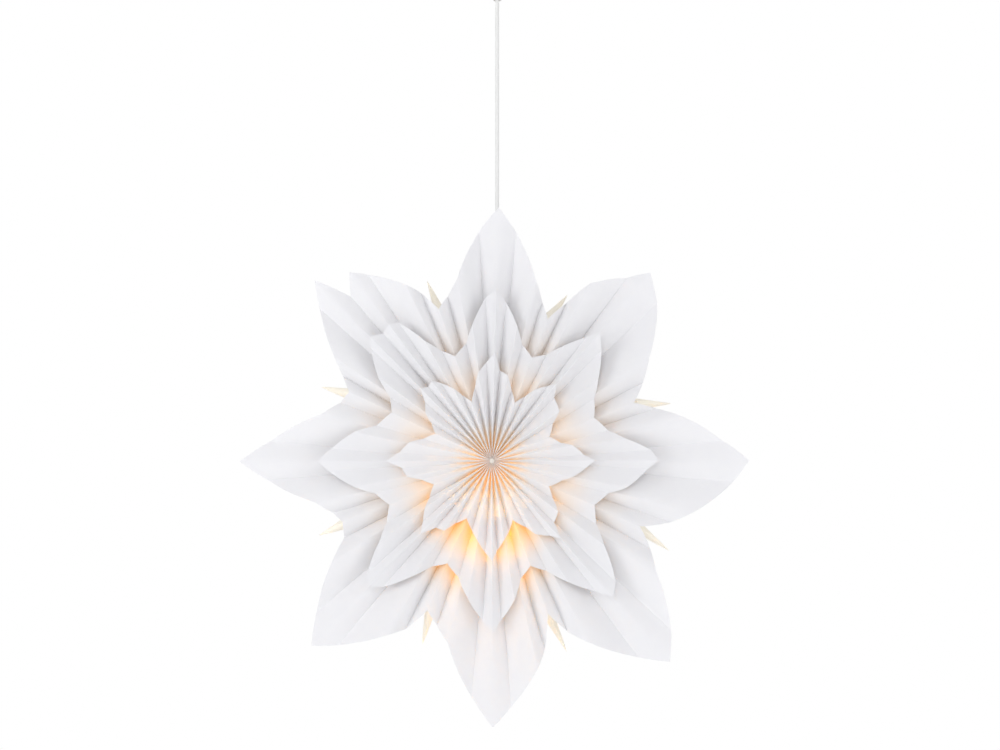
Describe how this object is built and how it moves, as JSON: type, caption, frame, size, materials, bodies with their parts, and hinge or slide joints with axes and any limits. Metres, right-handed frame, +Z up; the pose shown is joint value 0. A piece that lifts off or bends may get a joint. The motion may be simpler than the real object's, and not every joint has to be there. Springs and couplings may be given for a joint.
{
  "type": "pleated paper star pendant lamp",
  "caption": "White pleated paper star lamp with nested front and back rosettes, hung on a straight white flex from a ceiling cup and lit warmly from inside.",
  "frame": {"origin": "on the ceiling, at the line of the flex, on the upper face of the bracket", "axes": "+Z up, away from the lamp; the star's front faces -Y; +X is the viewer's right"},
  "size_m": [0.693, 0.1714, 1.089],
  "materials": {
    "black_glass": "vitrite",
    "blue_wire": "insulation",
    "brass": "plain",
    "brown_wire": "insulation",
    "card": "rolled card, matt",
    "ceramic": "steatite",
    "clear_glass": "clear",
    "nickel": "nickel-plated",
    "opal_glass": "frosted",
    "paper": "uncoated white paper, matt",
    "phosphor": "coated rods",
    "spring_steel": "drawn wire",
    "white_flex": "smooth sheath",
    "white_plastic": "moulded, satin",
    "zinc_steel": "zinc-plated"
  },
  "bodies": {
    "ceiling": {"ceiling_bracket": "zinc_steel"},
    "cup": {"ceiling_cup": "white_plastic", "cup_screws": "nickel", "cord_grip": "white_plastic", "grip_nut": "white_plastic", "clamp_sleeve": "white_plastic", "grip_clamp_screw": "zinc_steel", "cord_tail": "white_flex", "live_wire": "brown_wire", "neutral_wire": "blue_wire", "terminal_block": "white_plastic", "terminal_screws": "zinc_steel"},
    "relief": {"bend_relief": "white_plastic"},
    "pendant": {"cord": "white_flex", "cord_stop": "white_plastic", "stop_screw": "zinc_steel", "hanger_wire": "spring_steel", "hanger_eyelets": "brass", "front_large_rosette": "paper", "front_medium_rosette": "paper", "front_small_rosette": "paper", "back_large_rosette": "paper", "back_medium_rosette": "paper", "back_small_rosette": "paper", "front_hub_core": "card", "back_hub_core": "card", "divider_leaf_1": "paper", "divider_leaf_2": "paper", "divider_leaf_3": "paper", "divider_leaf_4": "paper", "divider_leaf_5": "paper", "divider_leaf_6": "paper", "divider_leaf_7": "paper", "divider_leaf_8": "paper", "holder_cap": "white_plastic", "holder_clamp_screw": "zinc_steel", "holder_body": "white_plastic", "contact_seat": "ceramic", "threaded_shell": "brass", "middle_contact": "brass"},
    "bulb_tip": {"bulb_tip": "black_glass"},
    "bulb": {"bulb_cap": "nickel", "bulb_glass": "opal_glass", "bulb_stem": "clear_glass", "bulb_rods": "phosphor"}
  },
  "joints": [
    {"name": "cup_slide", "type": "slide", "parent": "ceiling", "child": "cup", "axis": [0, 0, -1], "range_m": [0, 0.06]},
    {"name": "flex_turn", "type": "hinge", "parent": "cup", "child": "relief", "pos_m": [0, 0, -0.077], "axis": [0, 0, 1], "range_deg": [-180, 180], "stiffness_Nm_per_rad": 0.02},
    {"name": "flex_swing", "type": "hinge", "parent": "relief", "child": "pendant", "pos_m": [0, 0, -0.077], "axis": [0, -1, 0], "range_deg": [-15, 15]},
    {"name": "bulb_travel", "type": "slide", "parent": "pendant", "child": "bulb_tip", "axis": [0, 0, -1], "range_m": [0, 0.02256]},
    {"name": "bulb_turn", "type": "hinge", "parent": "bulb_tip", "child": "bulb", "pos_m": [0, 0, -0.7655], "axis": [0, 0, -1], "range_deg": [0, 2880]}
  ],
  "couplings": [
    {"joint": "bulb_turn", "follows": "bulb_travel", "rad_per_m": 2228}
  ]
}
